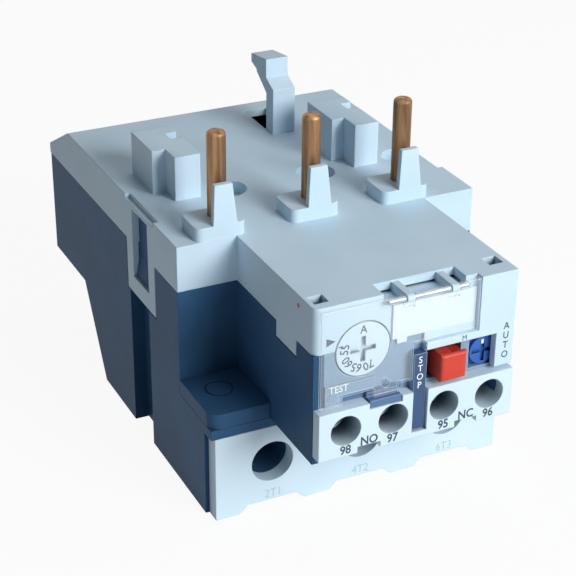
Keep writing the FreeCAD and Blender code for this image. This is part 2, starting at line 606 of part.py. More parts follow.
def hook(body):
    """The hook that hangs on the contactor, and the hole behind it."""
    back = "hook_front + hook_thick"
    head = "hook_front + hook_step"
    shape = outline(sketch_on(body, "hook_profile", "side", "hook_left"), [
        ("hook_front", "-sunk"), ("hook_front", "hook_bend"), (head, "hook_bend + hook_thick / 2"),
        (head, "hook_rise"), (head + " + hook_head + hook_lip", "hook_rise - hook_lip / 3"),
        (head + " + hook_head + hook_lip", "hook_rise - hook_lip_drop"),
        (head + " + hook_head", "hook_rise - hook_lip_drop - hook_lip / 3"),
        (head + " + hook_head", "hook_bend + hook_thick / 2"), (back, "hook_bend - hook_thick / 2"),
        (back, "-sunk")])
    pad(body, shape, "hook_wide", "right")
    hole = rectangle(sketch_on(body, "hook_hole", "top", "past"), "hook_left", "hook_left + hook_wide",
                     back + " + hole_gap", back + " + hole_gap + hole_long")
    pocket(body, hole, "cover_wall + 2 * past", "down")


ADJUST_DROP = "dial_drop - cam_round + cam_low - adjust_gap - adjust_thick / 2"


def adjust_support(body):
    """A boss behind the front wall that carries the pivot of the adjusting lever."""
    boss = circle(sketch_on(body, "adjust_boss", "front", "cover_wall - block_front - sunk"),
                  "adjust_pivot", "-(%s)" % ADJUST_DROP, "adjust_hub")
    pad(body, boss, "adjust_boss + sunk", "back")
    hole = circle(sketch_on(body, "adjust_boss_hole", "front", "cover_wall - block_front + adjust_boss"),
                  "adjust_pivot", "-(%s)" % ADJUST_DROP, "adjust_pin")
    pocket(body, hole, "pivot_seat", "forward")


# Terminal shroud and the two small covers above its ends

def terminal_shroud():
    body = start_body("shroud_body")
    side = "body_width / 2 - shroud_inset"
    corners = [("-(%s)" % side, "-base_drop")]
    for pole in POLES.values():
        corners += [(pole + " - notch_half", "-base_drop"), (pole + " - notch_half + notch_slope",
                    "notch_rise - base_drop"), (pole + " + notch_half - notch_slope",
                                                "notch_rise - base_drop"),
                    (pole + " + notch_half", "-base_drop")]
    corners += [(side, "-base_drop"), (side, "-rim_drop - seam_gap"),
                ("-(%s)" % side, "-rim_drop - seam_gap")]
    plate = outline(sketch_on(body, "shroud_plan", "front", "-terminal_front"), corners)
    for pole in POLES.values():
        circle(plate, pole, "-screw_drop", "driver_hole")
    pad(body, plate, "shroud_thick - seam_gap", "back")
    publish(body, "terminal_shroud")


def terminal_caps():
    """A flat cover on each outer end of the terminal row, with a round mark."""
    for side, left, right, middle in (
            ("left", "-body_width / 2", "-block_left - seam_gap", "-body_width / 2 + cap_middle"),
            ("right", "block_right + seam_gap", "body_width / 2", "body_width / 2 - cap_middle")):
        body = start_body(side + "_cap_body")
        plan = rectangle(sketch_on(body, side + "_cap_plan", "top", "-cap_drop - cap_thick + seam_gap"),
                         left, right, "-terminal_front", "-seam_gap")
        pad(body, plan, "cap_thick - seam_gap", "up")
        outer = (size("pole_pitch") + size("pole_side")) * (-1 if side == "left" else 1)
        round_off(body, side + "_cap_corner", "cap_round", lambda edge: runs_along(edge, "z")
                  and near(edge.Vertexes[0].X, outer) and near(edge.Vertexes[0].Y, -size("terminal_front")))
        mark = sketch_on(body, side + "_cap_mark", "top", "-cap_drop")
        circle(mark, middle, "-cap_mark_front", "cap_mark")
        circle(mark, middle, "-cap_mark_front", "cap_mark - cap_mark_wide")
        pocket(body, mark, "cap_mark_depth", "down")
        publish(body, "terminal_cap_" + side)


# Auxiliary terminal block: the white front block with four screw holes

PANEL_LEFT = "block_wall - block_left + seam_gap"
PANEL_RIGHT = "block_right - block_wall - seam_gap"


def aux_terminal_block():
    body = start_body("aux_body")
    flange = rectangle(sketch_on(body, "aux_flange_plan", "front", "-aux_front"),
                       "seam_gap - block_left", "block_right", "-aux_drop", "-aux_top")
    pad(body, flange, "aux_flange", "back")
    core = rectangle(sketch_on(body, "aux_core_plan", "front", "-aux_front + aux_flange - sunk"),
                     PANEL_LEFT, PANEL_RIGHT, "-aux_drop", "-aux_top")
    pad(body, core, "aux_front - aux_flange - aux_back + sunk", "back")
    bores = sketch_on(body, "aux_bores", "front", "-aux_front")
    cells = sketch_on(body, "aux_cells", "top", "-aux_drop")
    slots = sketch_on(body, "aux_slots", "front", "-aux_back")
    for middle in AUX.values():
        circle(bores, middle, "-aux_screw", "aux_hole")
        rectangle(cells, middle + " - aux_cell", middle + " + aux_cell",
                  "aux_hole_deep - aux_front", "aux_hole_deep + aux_cell_deep - aux_front")
        rectangle(slots, middle + " - tail_plate_half - cage_gap", middle + " + tail_plate_half + cage_gap",
                  "-(tail_plate_top + plate_thick + cage_gap)", "cage_gap - tail_plate_top")
    pocket(body, bores, "aux_hole_deep + sunk", "back")
    pocket(body, cells, "aux_drop - aux_cell_top", "up")
    pocket(body, slots, "aux_front - aux_back - aux_hole_deep - aux_cell_deep + sunk", "forward")
    front = "-aux_front - past"
    rib = rectangle(sketch_on(body, "rib_slot", "top", "-aux_top"), "rib_left - clip_gap",
                    "rib_right + clip_gap",
                    front, "clip_gap - block_front + seam_gap")
    pocket(body, rib, "rib_drop - aux_top + clip_gap", "down")
    finger = rectangle(sketch_on(body, "finger_notch", "top", "-aux_top"), "finger_left", "finger_right",
                       front, "aux_flange - aux_front")
    pocket(body, finger, "finger_deep", "down")
    skirts = sketch_on(body, "skirt_notches", "top", "-aux_drop")
    for middle in ("aux_left_pair", "aux_right_pair"):
        rectangle(skirts, middle + " - skirt_half", middle + " + skirt_half", front,
                  "aux_flange - aux_front")
    pocket(body, skirts, "skirt_notch", "up")
    publish(body, "aux_terminal_block")


# Front panel behind the dial and the buttons, with the wells that guide them

STOP_MIDDLE = "stop_left + stop_wide / 2"
STOP_LOW = "stop_top + stop_high / 2"


def front_panel():
    body = start_body("panel_body")
    face = "-block_front + seam_gap"
    back = "panel_thick + seam_gap - block_front"
    plate = rectangle(sketch_on(body, "panel_plan", "front", face), PANEL_LEFT, PANEL_RIGHT,
                      "-panel_drop", "-panel_top")
    pad(body, plate, "panel_thick", "back")
    bearing = circle(sketch_on(body, "dial_bearing", "front", "cover_wall - block_front + seam_gap"),
                     "dial_left", "-dial_drop", "dial_round + dial_gap + well_wall")
    pad(body, bearing, "panel_thick - cover_wall", "back")
    bore = circle(sketch_on(body, "panel_dial_bore", "front", face),
                  "dial_left", "-dial_drop", "dial_round + dial_gap")
    pocket(body, bore, "cover_wall - seam_gap", "back")
    shaft = circle(sketch_on(body, "shaft_bore", "front", face), "dial_left", "-dial_drop",
                   "dial_shaft + fit_gap")
    pocket(body, shaft, "panel_thick + past", "back")
    wells = rectangle(sketch_on(body, "well_block", "front", back + " - sunk"), "well_left - well_wall",
                      PANEL_RIGHT,
                      "-panel_drop", "well_wall + well_gap - stop_top")
    pad(body, wells, "-well_back + well_floor - (%s) + sunk" % back, "back")
    rib = rectangle(sketch_on(body, "panel_rib", "front", "-rib_front"), "rib_left", "rib_right",
                    "-rib_drop", "-band_drop - clip_gap")
    pad(body, rib, "rib_front - block_front + seam_gap + sunk", "back")
    ledge = outline(sketch_on(body, "test_ledge", "front", face + " - ledge_thick"), [
        (PANEL_LEFT, "-ledge_top"), ("ledge_right", "-ledge_top"), ("ledge_right", "-ledge_drop"),
        ("ledge_end", "-ledge_drop"), ("ledge_end", "-panel_drop"), (PANEL_LEFT, "-panel_drop")])
    pad(body, ledge, "ledge_thick + sunk", "back")
    openings = sketch_on(body, "panel_wells", "front", face + " - past")
    rectangle(openings, "well_left", STOP_MIDDLE + " + stop_wide / 2 + well_gap",
              "-(stop_top + stop_high + well_gap)", "well_gap - stop_top")
    rectangle(openings, "reset_middle - reset_half - slide_fit", PANEL_RIGHT + " + past",
              "-(reset_drop + reset_half + slide_fit)", "reset_half + slide_fit - reset_drop")
    pocket(body, openings, "block_front - well_back - seam_gap + past", "back")
    guides = sketch_on(body, "stem_guides", "front", "-well_back")
    circle(guides, STOP_MIDDLE, "-(%s)" % STOP_LOW, "button_stem + fit_gap")
    circle(guides, "reset_middle", "-reset_drop", "button_stem + fit_gap")
    pocket(body, guides, "well_floor + past", "back")
    test = circle(sketch_on(body, "test_bore", "front", face + " - past"),
                  "test_left", "-test_drop", "test_round + fit_gap")
    pocket(body, test, "panel_thick + 2 * past", "back")
    publish(body, "front_panel")


def label_plate():
    """The blank marking plate under the flap, with a tab at its lower left."""
    body = start_body("label_body")
    plan = outline(sketch_on(body, "label_plan", "front", "-block_front - label_thick"), [
        ("label_left", "-label_top"), ("label_right", "-label_top"), ("label_right", "-label_drop"),
        ("label_left + 3 * label_tab", "-label_drop"), ("label_left + 3 * label_tab",
                                                        "-label_drop - label_tab"),
        ("label_left + label_tab", "-label_drop - label_tab"), ("label_left + label_tab", "-label_drop"),
        ("label_left", "-label_drop")])
    pad(body, plan, "label_thick", "back")
    publish(body, "label_plate")


# Clear flap over the dial and the label, and its pin

def clear_flap():
    body = start_body("flap_body")
    front = "-fascia_front"
    plan = outline(sketch_on(body, "flap_plan", "front", front), [
        ("flap_left", "-flap_top"), ("label_right", "-flap_top"), ("label_right", "-flap_short"),
        ("flap_split", "-flap_short"), ("flap_split", "-flap_step"), ("ear_right", "-flap_step"),
        ("ear_right", "-ear_drop"), ("ear_left", "-ear_drop"), ("ear_left", "-flap_step"),
        ("flap_heel", "-flap_step"), ("flap_heel", "-flap_drop"), ("flap_left", "-flap_drop")])
    circle(plan, "ear_hole_left", "-ear_hole_drop", "ear_hole")
    pad(body, plan, "flap_thick", "back")
    barrel = circle(sketch_on(body, "flap_barrel", "side", "hinge_left + cage_gap"),
                    AXIS_FRONT, "-axis_drop", "barrel")
    pad(body, barrel, "hinge_right - hinge_left - 2 * cage_gap", "right")
    gaps = sketch_on(body, "lug_gaps", "front", front + " - past")
    for left in ("lug_left", "lug_right"):
        rectangle(gaps, left + " - cage_gap", left + " + lug_wide + cage_gap",
                  "-(axis_drop + 2 * barrel + cage_gap)", "past")
    pocket(body, gaps, "fascia_front - hinge_back", "back")
    hole = circle(sketch_on(body, "flap_hole", "side", "hinge_left"), AXIS_FRONT, "-axis_drop",
                  "hinge_pin + fit_gap")
    pocket(body, hole, "hinge_right - hinge_left", "right")
    publish(body, "clear_flap")
    publish(rod("flap_rod", "x", "hinge_left + cage_gap", AXIS_FRONT, "-axis_drop", "hinge_pin",
                "hinge_right - hinge_left - 2 * cage_gap"), "flap_pin")


# Controls on the front

def setting_dial():
    """The dial, its cross slot, its shaft and the eccentric cam at the end of the shaft."""
    front = "-block_front - seam_gap"
    disc = rod("dial_disc", "y", "dial_left", front, "-dial_drop", "dial_round", "dial_thick")
    shaft = rod("dial_rod", "y", "dial_left", front, "-dial_drop", "dial_shaft",
                "block_front - cam_front + cam_thick")
    cam = rod("dial_cam", "y", "dial_left + cam_side", "-cam_front", "-dial_drop - cam_low", "cam_round",
              "cam_thick")
    slots = [block("dial_slot_" + name, "dial_left - " + wide, "dial_left + " + wide, front + " - past",
                   "dial_slot_deep - block_front", "-dial_drop - " + high, high + " - dial_drop")
             for name, wide, high in (("across", "dial_slot_long / 2", "dial_slot / 2"),
                                      ("upright", "dial_slot / 2", "dial_slot_long / 2"))]
    publish(carve("dial", join("dial_body", [disc, shaft, cam]), slots), "setting_dial")


def spring(name, middle, front, low, radius):
    """A coil spring along Y, of wire with narrow flats."""
    line = doc.addObject("Part::Helix", name + "_line")
    line.setExpression("Radius", bound(radius))
    line.setExpression("Pitch", bound("spring_pitch"))
    line.setExpression("Height", bound("spring_pitch * spring_turns"))
    line.Placement = Placement(Vector(), TURNS["y"])
    place(line, middle, front, low)
    ring = doc.addObject("Part::RegularPolygon", name + "_ring")
    ring.setExpression("Polygon", bound("wire_sides"))
    ring.setExpression("Circumradius", bound("wire_round"))
    ring.Placement = Placement(Vector(), TURNS["z"])
    place(ring, "%s + %s" % (middle, radius), front, low)
    return sweep(name, ring, line)


def sweep(name, ring, line):
    doc.recompute()
    wire = doc.addObject("Part::Sweep", name + "_wire")
    wire.Sections = [ring]
    wire.Spine = (line, ["Edge%d" % (n + 1) for n in range(len(line.Shape.Edges))])
    wire.Solid = True
    wire.Frenet = True
    return publish(wire, name)


def stop_button():
    """The square stop button, with a hollow in its top, its stem and its spring."""
    right = "stop_left + stop_wide"
    low = "-stop_top - stop_high"
    head = block("stop_head", "stop_left", right, "-stop_front", "stop_deep - stop_front", low, "-stop_top")
    face = -size("stop_front")
    rounded = soften("stop_soft", head, size("stop_edge"), lambda edge: near(edge.BoundBox.YMin, face)
                     and near(edge.BoundBox.YMax, face))
    scoop = rod("stop_hollow", "y", right + " - stop_scoop / 2", "stop_rim - stop_front", "past - stop_top",
                "stop_scoop", "stop_deep")
    stem = rod("stop_rod", "y", STOP_MIDDLE, "stop_deep - stop_front - sunk", "-(%s)" % STOP_LOW,
               "button_stem", "stop_stem_long + sunk")
    publish(join("stop", [carve("stop_cut", rounded, [scoop]), stem]), "stop_button")
    spring("stop_spring", STOP_MIDDLE, "stop_deep - stop_front + wire_round", "-(%s)" % STOP_LOW,
           "button_stem + 2 * wire_round")


def reset_controls():
    """The reset button, the selector that turns on it, and the spring behind."""
    back = "reset_head - reset_front"
    head = block("reset_square", "reset_middle - reset_half", "reset_middle + reset_half",
                 "-reset_front", back,
                 "-reset_drop - reset_half", "reset_half - reset_drop")
    stem = rod("reset_rod", "y", "reset_middle", back + " - sunk", "-reset_drop", "button_stem",
               "reset_long + sunk")
    seat = rod("reset_seat", "y", "reset_middle", "-reset_front - past", "-reset_drop",
               "knob_stem + fit_gap", "reset_head + past")
    publish(carve("reset", join("reset_body", [head, stem]), [seat]), "reset_plunger")
    front = "-reset_front - knob_thick - seam_gap"
    disc = rod("knob_disc", "y", "reset_middle", front, "-reset_drop", "knob_round", "knob_thick")
    pivot = rod("knob_rod", "y", "reset_middle", front, "-reset_drop", "knob_stem",
                "knob_thick + reset_head - past")
    slots = [block("knob_slot_" + name, "reset_middle - " + wide, "reset_middle + " + wide,
                   front + " - past",
                   front + " + knob_slot_deep", "-reset_drop - " + high, high + " - reset_drop")
             for name, wide, high in (("across", "knob_slot_long / 2", "knob_slot / 2"),
                                      ("upright", "knob_slot / 2", "knob_slot_long / 2"))]
    publish(carve("knob", join("knob_body", [disc, pivot]), slots), "reset_selector")
    spring("reset_spring", "reset_middle", back + " + wire_round", "-reset_drop",
           "button_stem + 2 * wire_round")


def test_button():
    """A thin push rod with a collar that stops it behind the panel."""
    front = "-block_front - ledge_thick"
    rail = rod("test_rod", "y", "test_left", front, "-test_drop", "test_round", "test_long")
    collar = rod("test_stop", "y", "test_left", "panel_thick + cage_gap - block_front", "-test_drop",
                 "test_collar", "test_collar_thick")
    publish(join("test", [rail, collar]), "test_button")


# Main circuit: pins, clamps, screws, load bars, heating strips

def connection_pins():
    """At each pole a round pin, and the strap that leads from it down to the heater."""
    for (count, pin), pole in zip(PINS.items(), POLES.values()):
        name = "pin_" + count
        round_part = rod(name + "_rod", "z", pin, "pin_back", "-pin_tail", "pin_round",
                         "pin_rise + pin_tail")
        top = size("pin_rise")
        tipped = soften(name + "_tip", round_part, size("pin_tip"),
                        lambda edge: near(edge.BoundBox.ZMin, top)
                        and near(edge.BoundBox.ZMax, top))
        strap = block(name + "_strap", pin + " - lead_half", pin + " + lead_half", "pin_back",
                      "drop_back + lead_thick", "-pin_tail", "lead_thick - pin_tail")
        drop = block(name + "_drop", pole + " - lead_outer", pole + " - lead_inner", "drop_back",
                     "drop_back + lead_thick", "-lead_drop - lead_thick", "lead_thick - pin_tail")
        foot = block(name + "_foot", pole + " - lead_outer", pole + " + lead_outer", "drop_back",
                     "foot_back",
                     "-lead_drop - lead_thick", "-lead_drop")
        publish(join(name + "_body", [tipped, strap, drop, foot]), name)


def screw(name, kind, middle, front, low, reach):
    """A round headed screw along Y, with its slot to the front."""
    head = rod(name + "_head", "y", middle, front, low, kind + "_head", kind + "_head_thick")
    shank = rod(name + "_shank", "y", middle, front, low, kind + "_shank",
                "%s_head_thick + %s" % (kind, reach))
    slot = block(name + "_slot", "%s - %s_head" % (middle, kind), "%s + %s_head" % (middle, kind), front,
                 "%s + %s_slot" % (front, kind), "%s - %s_slot / 2" % (low, kind),
                 "%s + %s_slot / 2" % (low, kind))
    return publish(carve(name, join(name + "_blank", [head, shank]), [slot]), name)


def clamps():
    """At each pole a box clamp, its screw and the load bar that the wire is pressed against."""
    for count, pole in POLES.items():
        name = "clamp_cage_" + count
        low, high = "-cage_drop", "-cage_top"
        cage = block(name + "_box", pole + " - cage_half", pole + " + cage_half", "cage_front",
                     "cage_back", low, high)
        window = block(name + "_window", pole + " - cage_half + cage_wall",
                       pole + " + cage_half - cage_wall",
                       "cage_front + cage_nut", "cage_back - cage_wall", low + " - past", high + " + past")
        thread = rod(name + "_thread", "y", pole, "cage_front - past", "-screw_drop",
                     "main_shank + fit_gap",
                     "cage_nut + 2 * past")
        publish(carve(name + "_body", cage, [window, thread]), name)
        screw("terminal_screw_" + count, "main", pole, "cage_front - cage_gap - main_head_thick",
              "-screw_drop",
              "cage_gap + cage_nut + screw_reach")
        bar = "load_bar_" + count
        back = "cage_back - cage_wall - fit_gap"
        plate = block(bar + "_plate", pole + " - bar_half", pole + " + bar_half", back + " - bar_plate",
                      back,
                      "-cage_drop + cage_wall", "-bar_lip")
        lip = block(bar + "_lip", pole + " - bar_half", pole + " + bar_half", back + " - bar_plate",
                    "chamber_front", "-bar_lip - bar_plate", "-bar_lip")
        arm = block(bar + "_arm", pole + " + lead_inner", pole + " + bar_half", "chamber_front - past",
                    "leg_back",
                    "-bar_lip - bar_plate", "-bar_lip")
        publish(join(bar + "_body", [plate, lip, arm]), bar)


def heating_strips():
    """At each pole a bimetal strip on a foot, inside a sleeve wound with heater ribbon."""
    for count, pole in POLES.items():
        name = "bimetal_" + count
        strip = block(name + "_strip", pole + " - strip_thick / 2", pole + " + strip_thick / 2",
                      "strip_back - strip_wide / 2", "strip_back + strip_wide / 2", "-chamber_drop",
                      "-strip_top")
        foot = block(name + "_foot", pole + " - foot_half", pole + " + foot_half",
                     "strip_back - strip_wide / 2",
                     "strip_back + strip_wide / 2", "-chamber_drop", "foot_deep - chamber_drop")
        publish(join(name + "_body", [strip, foot]), name)
        coil = "heater_" + count
        rise = "coil_pitch * (coil_turns - 1) + coil_high"
        sleeve = rod(coil + "_sleeve", "z", pole, "strip_back", "-coil_drop", "coil_inner + coil_wall",
                     rise)
        turns = [rod("%s_turn%d" % (coil, n + 1), "z", pole, "strip_back",
                     "-coil_drop + coil_pitch * %d" % n,
                     "coil_round", "coil_high") for n in range(int(size("coil_turns")))]
        room = rod(coil + "_room", "z", pole, "strip_back", "-coil_drop - past", "coil_inner",
                   rise + " + 2 * past")
        publish(carve(coil + "_body", join(coil + "_wound", [sleeve] + turns), [room]), coil)


# Trip mechanism and auxiliary contacts

def push_slide():
    """The slide that all three strips push, with a window for each."""
    body = start_body("slide_body")
    plan = sketch_on(body, "slide_plan", "top", "-slide_drop")
    rectangle(plan, "-slide_left", "slide_right", "slide_front", "slide_back")
    at_poles(plan, " - strip_thick / 2 - slide_play - slide_travel", " + strip_thick / 2 + slide_play",
             "strip_back - strip_wide / 2 - slide_play", "strip_back + strip_wide / 2 + slide_play")
    pad(body, plan, "slide_thick", "up")
    publish(body, "push_slide")


def pivots():
    """The lever that the slide turns, the rocker that it trips, and their pins."""
    side = "slide_right + lever_gap"
    low = "-(%s)" % LEVER_DROP
    arm = block("lever_arm", side, side + " + lever_thick", "lever_front", "lever_rear", low,
                low + " + lever_high")
    hub = rod("lever_eye", "z", LEVER_MIDDLE, "lever_pivot", low, "lever_hub", "lever_high")
    hole = rod("lever_hole", "z", LEVER_MIDDLE, "lever_pivot", low + " - past", "lever_pin + fit_gap",
               "lever_high + 2 * past")
    publish(carve("lever", join("lever_body", [arm, hub]), [hole]), "compensating_lever")
    publish(rod("lever_axle", "z", LEVER_MIDDLE, "lever_pivot", low + " - pivot_seat", "lever_pin",
                "pivot_seat + lever_high + past"), "lever_pin")
    low = "-(%s)" % ROCKER_DROP
    high = low + " + rocker_high"
    front, back = "rocker_front - rocker_thick / 2", "rocker_front + rocker_thick / 2"
    tip = side + " - slide_play"
    long_arm = block("rocker_long", "rocker_left - rocker_arm", tip, front, back, low, high)
    short_arm = block("rocker_short", tip + " - rocker_thick", tip, front, "rocker_front + rocker_side",
                      low, high)
    hub = rod("rocker_eye", "z", "rocker_left", "rocker_front", low, "rocker_hub", "rocker_high")
    hole = rod("rocker_hole", "z", "rocker_left", "rocker_front", low + " - past", "lever_pin + fit_gap",
               "rocker_high + 2 * past")
    publish(carve("rocker", join("rocker_body", [long_arm, short_arm, hub]), [hole]), "trip_rocker")
    publish(rod("rocker_axle", "z", "rocker_left", "rocker_front", low + " - pivot_seat", "lever_pin",
                "pivot_seat + rocker_high + past"), "rocker_pin")


def contact_carrier():
    """The sliding carrier with a slotted post for each bridge, and the stem that the rocker pushes."""
    front, back = "-carrier_front", "carrier_thick - carrier_front"
    high = "carrier_high - carrier_drop"
    parts = [block("carrier_bar", "aux_left_pair - carrier_post", "aux_right_pair + carrier_post", front,
                   back,
                   "-carrier_drop", high)]
    tools = []
    for name, middle in (("left", "aux_left_pair"), ("right", "aux_right_pair")):
        parts.append(block(name + "_post", middle + " - carrier_post", middle + " + carrier_post",
                           "-bridge_front - post_wall", "post_wall - carrier_front", high + " - sunk",
                           "post_wall / 2 - bridge_top"))
        tools.append(block(name + "_seat", middle + " - carrier_post - past",
                           middle + " + carrier_post + past",
                           "-bridge_front - fit_gap", "bridge_thick + fit_gap - bridge_front",
                           "-bridge_top - bridge_high - fit_gap", "past - bridge_top"))
    stem = "rocker_left - rocker_arm + tail_half"
    parts.append(block("carrier_stem", stem + " - tail_half", stem + " + tail_half", back + " - sunk",
                       "rocker_front - rocker_thick / 2 - slide_play", high + " - tail_high",
                       high + " + tail_high"))
    publish(carve("carrier", join("carrier_body", parts), tools), "contact_carrier")
    for name, middle in (("nc_bridge", "aux_right_pair"), ("no_bridge", "aux_left_pair")):
        publish(block(name + "_strip", middle + " - aux_half - bridge_reach",
                      middle + " + aux_half + bridge_reach",
                      "-bridge_front", "bridge_thick - bridge_front", "-bridge_top - bridge_high",
                      "-bridge_top"), name)


def aux_contacts():
    """At each small terminal its contact plate, clamping washer and screw."""
    washers = []
    plate_front = "-aux_plate_front"
    for number, middle in AUX.items():
        name = "contact_plate_" + number
        face = block(name + "_face", middle + " - plate_half", middle + " + plate_half", plate_front,
                     plate_front + " + plate_thick", "-aux_screw - cell_foot", "-tail_plate_top")
        tip_front = "bridge_thick + contact_gap - bridge_front"
        tab_front = tip_front + " + tip_thick"
        if number in ("97", "98"):
            tip_front = "-bridge_front - carrier_travel - contact_gap - tip_thick"
            tab_front = tip_front + " - plate_thick"
        narrow = (middle + " - tail_plate_half", middle + " + tail_plate_half")
        strip = block(name + "_strip", *narrow, plate_front, tab_front + " + plate_thick",
                      "-tail_plate_top - plate_thick", "-tail_plate_top")
        tab = block(name + "_tab", *narrow, tab_front, tab_front + " + plate_thick",
                    "-tail_plate_top - plate_thick", "-tail_plate_end")
        tip = rod(name + "_tip", "y", middle, tip_front, "-bridge_top - bridge_high / 2", "tip_round",
                  "tip_thick")
        thread = rod(name + "_thread", "y", middle, plate_front + " - past", "-aux_screw",
                     "small_shank + fit_gap", "plate_thick + 2 * past")
        publish(carve(name + "_body", join(name + "_blank", [face, strip, tab, tip]), [thread]), name)
        washer_front = plate_front + " - wire_gap - saddle_thick"
        saddle = block("saddle_" + number, middle + " - saddle_half", middle + " + saddle_half",
                       washer_front,
                       washer_front + " + saddle_thick", "-aux_screw - saddle_half",
                       "saddle_half - aux_screw")
        eye = rod("saddle_eye_" + number, "y", middle, washer_front + " - past", "-aux_screw",
                  "small_shank + fit_gap", "saddle_thick + 2 * past")
        washers.append(carve("washer_" + number, saddle, [eye]))
        screw("aux_screw_" + number, "small", middle, washer_front + " - seam_gap - small_head_thick",
              "-aux_screw",
              "saddle_thick + plate_thick + seam_gap + wire_gap + screw_reach")
    publish(join("washers", washers), "aux_washers")


def adjusting_lever():
    """The lever that rides over the cam of the dial, and its pin."""
    low = "-(%s)" % ADJUST_DROP
    front = "cover_wall - block_front + adjust_boss + cage_gap"
    arm = block("adjust_arm", "adjust_pivot - adjust_reach", "adjust_pivot", front,
                front + " + adjust_deep",
                low + " - adjust_thick / 2", low + " + adjust_thick / 2")
    hub = rod("adjust_eye", "y", "adjust_pivot", front, low, "adjust_hub", "adjust_deep")
    hole = rod("adjust_hole", "y", "adjust_pivot", front + " - past", low, "adjust_pin + fit_gap",
               "adjust_deep + 2 * past")
    publish(carve("adjust", join("adjust_body", [arm, hub]), [hole]), "adjusting_lever")
    publish(rod("adjust_axle", "y", "adjust_pivot",
                "cover_wall - block_front + adjust_boss - pivot_seat", low,
                "adjust_pin", "pivot_seat + cage_gap + adjust_deep + past"), "adjusting_pin")


def finish():
    """Rebuild, check each piece, and write it to its own file."""
    doc.recompute()
    for thing in doc.Objects:
        if "Invalid" in thing.State or "Error" in thing.State:
            raise RuntimeError("%s did not build: %s" % (thing.Name, thing.State))
    os.makedirs("parts", exist_ok=True)
    for thing in NODES:
        if thing.Shape.isNull() or not thing.Shape.isValid():
            raise RuntimeError("%s has no valid shape" % thing.Label)
    for thing in NODES:
        thing.Shape.exportStep("parts/%s.step" % thing.Label)
        print(thing.Label, len(thing.Shape.Solids), round(thing.Shape.Volume, 1))


base_housing()
top_cover()
terminal_shroud()
terminal_caps()
aux_terminal_block()
front_panel()
label_plate()
clear_flap()
setting_dial()
stop_button()
reset_controls()
test_button()
connection_pins()
clamps()
heating_strips()
push_slide()
pivots()
contact_carrier()
aux_contacts()
adjusting_lever()
finish()
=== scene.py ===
import math
import bpy
from mathutils import Matrix, Vector


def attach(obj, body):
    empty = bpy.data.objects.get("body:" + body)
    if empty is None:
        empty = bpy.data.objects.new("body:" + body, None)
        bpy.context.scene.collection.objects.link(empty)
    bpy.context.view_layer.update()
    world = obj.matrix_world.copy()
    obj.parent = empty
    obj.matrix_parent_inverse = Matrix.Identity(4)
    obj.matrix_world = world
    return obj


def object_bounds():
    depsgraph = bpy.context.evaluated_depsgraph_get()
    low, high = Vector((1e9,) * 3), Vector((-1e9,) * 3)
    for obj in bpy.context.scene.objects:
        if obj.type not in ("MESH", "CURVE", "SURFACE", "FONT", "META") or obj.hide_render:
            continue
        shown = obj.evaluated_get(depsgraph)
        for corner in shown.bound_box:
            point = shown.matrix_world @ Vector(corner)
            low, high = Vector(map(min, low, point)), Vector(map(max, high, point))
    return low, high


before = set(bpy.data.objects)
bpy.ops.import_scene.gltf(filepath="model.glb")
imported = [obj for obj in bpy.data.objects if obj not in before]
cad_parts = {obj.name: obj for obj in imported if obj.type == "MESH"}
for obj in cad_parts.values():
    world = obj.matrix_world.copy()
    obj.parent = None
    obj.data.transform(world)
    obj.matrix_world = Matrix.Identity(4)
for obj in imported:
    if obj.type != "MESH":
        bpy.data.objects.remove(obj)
solid_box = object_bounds()

# Camera, studio and floor.
# The relay stands on a pale paper sweep, seen from its front left and from above, as in the photo.
# The camera's place, aim and focal length were solved from the straight edges of the casing.

MM = 0.001

eye = Vector((-142.28, -269.37, 143.28)) * MM
yaw, pitch, roll = math.radians(26.19), math.radians(27.76), math.radians(0.548)
ahead = Vector((math.sin(yaw) * math.cos(pitch), math.cos(yaw) * math.cos(pitch), -math.sin(pitch)))
level = Vector((math.cos(yaw), -math.sin(yaw), 0))
upward = level.cross(ahead)
across = level * math.cos(roll) + upward * math.sin(roll)
rise = upward * math.cos(roll) - level * math.sin(roll)
bpy.ops.object.camera_add()
camera = bpy.context.object
camera.name = "camera"
camera.data.lens, camera.data.sensor_width = 99.92, 36
camera.data.clip_start = 0.01
camera.matrix_world = Matrix((
    (across.x, rise.x, -ahead.x, eye.x),
    (across.y, rise.y, -ahead.y, eye.y),
    (across.z, rise.z, -ahead.z, eye.z),
    (0, 0, 0, 1)))
bpy.context.scene.camera = camera


def add(tree, kind, inputs=None, **settings):
    """One node, with its settings, plain values and incoming links."""
    made = tree.nodes.new(kind)
    for name, value in settings.items():
        setattr(made, name, value)
    for name, value in (inputs or {}).items():
        if isinstance(value, bpy.types.NodeSocket):
            tree.links.new(value, made.inputs[name])
        else:
            made.inputs[name].default_value = value
    return made


def paint(code):
    """An sRGB hex colour as linear light."""
    parts = [int(code[n:n + 2], 16) / 255 for n in (0, 2, 4)]
    return [c / 12.92 if c <= 0.04045 else ((c + 0.055) / 1.055) ** 2.4 for c in parts] + [1]


def empty_material(name):
    """A new material whose node tree is empty, and that tree."""
    made = bpy.data.materials.new(name)
    made.use_nodes = True
    made.node_tree.nodes.clear()
    return made, made.node_tree


def straight_look(tree, share=1.0):
    """The share for the camera, and for what shiny and clear surfaces show; nothing for the light itself."""
    path = add(tree, "ShaderNodeLightPath")
    look = path.outputs["Is Camera Ray"]
    for ray in ("Is Transmission Ray", "Is Glossy Ray"):
        look = add(tree, "ShaderNodeMath", {0: look, 1: path.outputs[ray]}, operation="MAXIMUM").outputs[0]
    return add(tree, "ShaderNodeMath", {0: look, 1: share}, operation="MULTIPLY").outputs[0]


